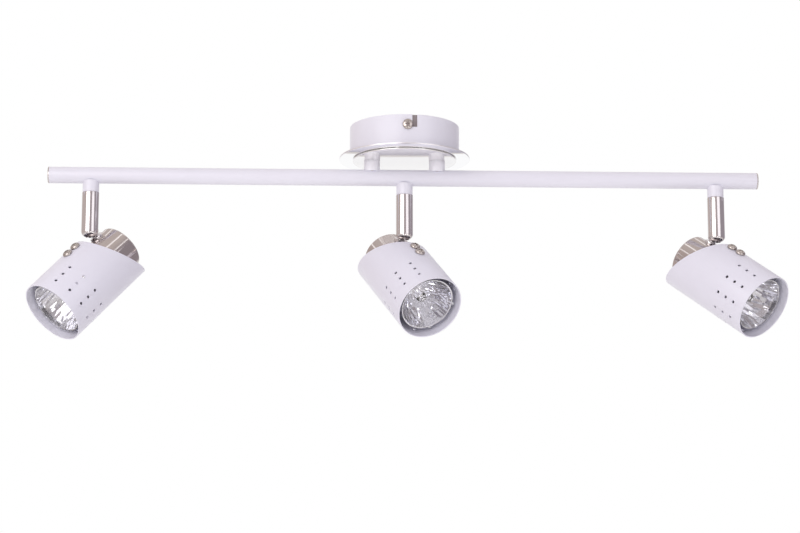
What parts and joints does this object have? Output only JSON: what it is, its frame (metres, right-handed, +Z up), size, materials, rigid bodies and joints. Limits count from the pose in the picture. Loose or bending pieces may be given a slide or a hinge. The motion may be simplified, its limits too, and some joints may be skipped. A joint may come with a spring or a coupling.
{
  "type": "ceiling spotlight bar",
  "caption": "Ceiling spotlight bar: a white tube on a round canopy carries chrome stems with ball knuckles and perforated, tilting cylinder shades round reflector lamps.",
  "frame": {"origin": "middle of the ceiling bracket's top face, in the ceiling plane", "axes": "+Z up into the ceiling, +X along the bar, -Y towards the room side that the bayonet screw faces"},
  "size_m": [0.6843, 0.1197, 0.1995],
  "materials": {
    "white_powder_coat": "satin white powder coat",
    "shade_lacquer": "satin cool-white lacquer with a faint lilac cast",
    "polished_chrome": "polished chrome plate",
    "zinc_steel": "bright zinc plate",
    "brass": "turned brass",
    "porcelain": "unglazed steatite",
    "nylon": "natural nylon",
    "reflector_metal": "facetted vacuum-aluminised glass",
    "clear_glass": "clear glass",
    "lead_sleeve": "braided heat-resisting sleeve"
  },
  "bodies": {
    "ceiling_fitting": {"ceiling_bracket": "zinc_steel", "canopy_cup": "white_powder_coat", "bracket_screw_front": "polished_chrome", "bracket_screw_rear": "polished_chrome", "trim_disc": "polished_chrome", "cover_disc": "white_powder_coat", "post_left": "white_powder_coat", "post_right": "white_powder_coat", "hollow_bolt_left": "brass", "hollow_bolt_right": "brass", "bar_tube": "white_powder_coat", "end_cap_left": "polished_chrome", "end_cap_right": "polished_chrome", "ferrule_left": "white_powder_coat", "ferrule_middle": "white_powder_coat", "ferrule_right": "white_powder_coat", "terminal_block": "porcelain", "wiring_harness": "lead_sleeve"},
    "stem_left": {"stem_tube_left": "polished_chrome", "ball_seat_left": "nylon", "stem_lead_left": "lead_sleeve"},
    "head_left": {"knuckle_left": "polished_chrome", "holder_cup_left": "polished_chrome", "lampholder_left": "porcelain", "head_lead_left": "lead_sleeve", "lamp_reflector_left": "reflector_metal", "lamp_glass_left": "clear_glass", "lamp_capsule_left": "clear_glass"},
    "shade_left": {"shade_left": "shade_lacquer", "shade_clamp_left": "zinc_steel", "shade_screw_front_left": "polished_chrome", "shade_screw_rear_left": "polished_chrome"},
    "stem_middle": {"stem_tube_middle": "polished_chrome", "ball_seat_middle": "nylon", "stem_lead_middle": "lead_sleeve"},
    "head_middle": {"knuckle_middle": "polished_chrome", "holder_cup_middle": "polished_chrome", "lampholder_middle": "porcelain", "head_lead_middle": "lead_sleeve", "lamp_reflector_middle": "reflector_metal", "lamp_glass_middle": "clear_glass", "lamp_capsule_middle": "clear_glass"},
    "shade_middle": {"shade_middle": "shade_lacquer", "shade_clamp_middle": "zinc_steel", "shade_screw_front_middle": "polished_chrome", "shade_screw_rear_middle": "polished_chrome"},
    "stem_right": {"stem_tube_right": "polished_chrome", "ball_seat_right": "nylon", "stem_lead_right": "lead_sleeve"},
    "head_right": {"knuckle_right": "polished_chrome", "holder_cup_right": "polished_chrome", "lampholder_right": "porcelain", "head_lead_right": "lead_sleeve", "lamp_reflector_right": "reflector_metal", "lamp_glass_right": "clear_glass", "lamp_capsule_right": "clear_glass"},
    "shade_right": {"shade_right": "shade_lacquer", "shade_clamp_right": "zinc_steel", "shade_screw_front_right": "polished_chrome", "shade_screw_rear_right": "polished_chrome"}
  },
  "joints": [
    {"name": "swivel_left", "type": "hinge", "parent": "ceiling_fitting", "child": "stem_left", "pos_m": [-0.285, 0, -0.0964], "axis": [0, 0, 1], "range_deg": [-175, 175]},
    {"name": "tilt_left", "type": "hinge", "parent": "stem_left", "child": "head_left", "pos_m": [-0.285, 0, -0.0964], "axis": [0.5664, -0.8241, 0], "range_deg": [-45, 40]},
    {"name": "shade_turn_left", "type": "hinge", "parent": "head_left", "child": "shade_left", "pos_m": [-0.27393, 0.00761, -0.12879], "axis": [0.5827, 0.4005, 0.7071], "range_deg": [-39.8, 20.2]},
    {"name": "swivel_middle", "type": "hinge", "parent": "ceiling_fitting", "child": "stem_middle", "pos_m": [0, 0, -0.0964], "axis": [0, 0, 1], "range_deg": [-175, 175]},
    {"name": "tilt_middle", "type": "hinge", "parent": "stem_middle", "child": "head_middle", "pos_m": [0, 0, -0.0964], "axis": [0.8704, 0.4924, 0], "range_deg": [-39.9, 45.1]},
    {"name": "shade_turn_middle", "type": "hinge", "parent": "head_middle", "child": "shade_middle", "pos_m": [-0.00517, 0.00914, -0.12985], "axis": [-0.3778, 0.6677, 0.6414], "range_deg": [-28.5, 31.5]},
    {"name": "swivel_right", "type": "hinge", "parent": "ceiling_fitting", "child": "stem_right", "pos_m": [0.285, 0, -0.0964], "axis": [0, 0, 1], "range_deg": [-175, 175]},
    {"name": "tilt_right", "type": "hinge", "parent": "stem_right", "child": "head_right", "pos_m": [0.285, 0, -0.0964], "axis": [0.6743, 0.7385, 0], "range_deg": [-35.8, 49.2]},
    {"name": "shade_turn_right", "type": "hinge", "parent": "head_right", "child": "shade_right", "pos_m": [0.27903, 0.00545, -0.13052], "axis": [-0.5989, 0.5469, 0.585], "range_deg": [-18.7, 41.3]}
  ]
}
